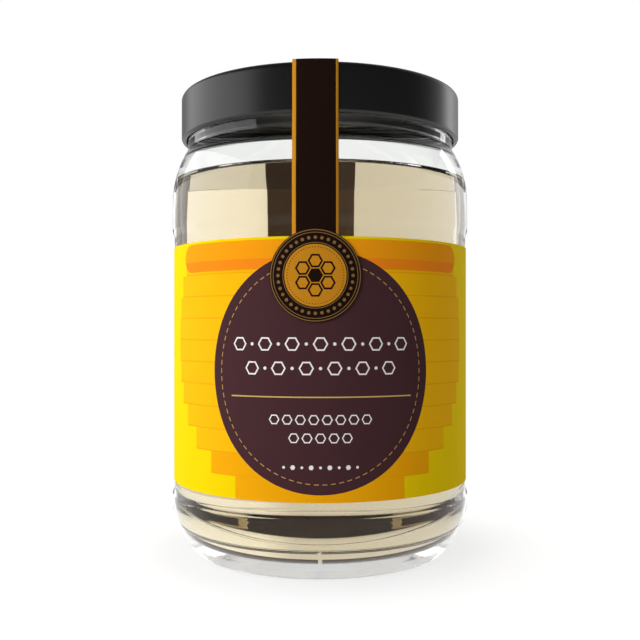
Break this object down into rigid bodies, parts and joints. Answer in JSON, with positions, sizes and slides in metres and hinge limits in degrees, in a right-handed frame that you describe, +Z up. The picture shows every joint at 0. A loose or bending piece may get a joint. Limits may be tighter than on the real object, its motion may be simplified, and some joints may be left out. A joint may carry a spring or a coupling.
{
  "type": "jar of honey",
  "caption": "Round clear jar of honey with a black screw cap, a wrap label and a seal strip over the cap.",
  "frame": {"origin": "on the jar's axis, at the plane its foot stands on", "axes": "+Z up along the jar's axis; the label's front and the round seal face -Y; +X to the viewer's right"},
  "size_m": [0.067, 0.0674, 0.1025],
  "materials": {
    "glass": "clear, polished",
    "honey": "clear pale liquid",
    "cap": "black, satin",
    "label": "printed film, satin",
    "strip": "printed paper with gold edges",
    "seal": "printed paper with gold rings"
  },
  "bodies": {
    "root": {"jar": "glass", "honey": "honey", "cap": "cap", "label": "label", "strip": "strip", "seal": "seal"}
  },
  "joints": []
}
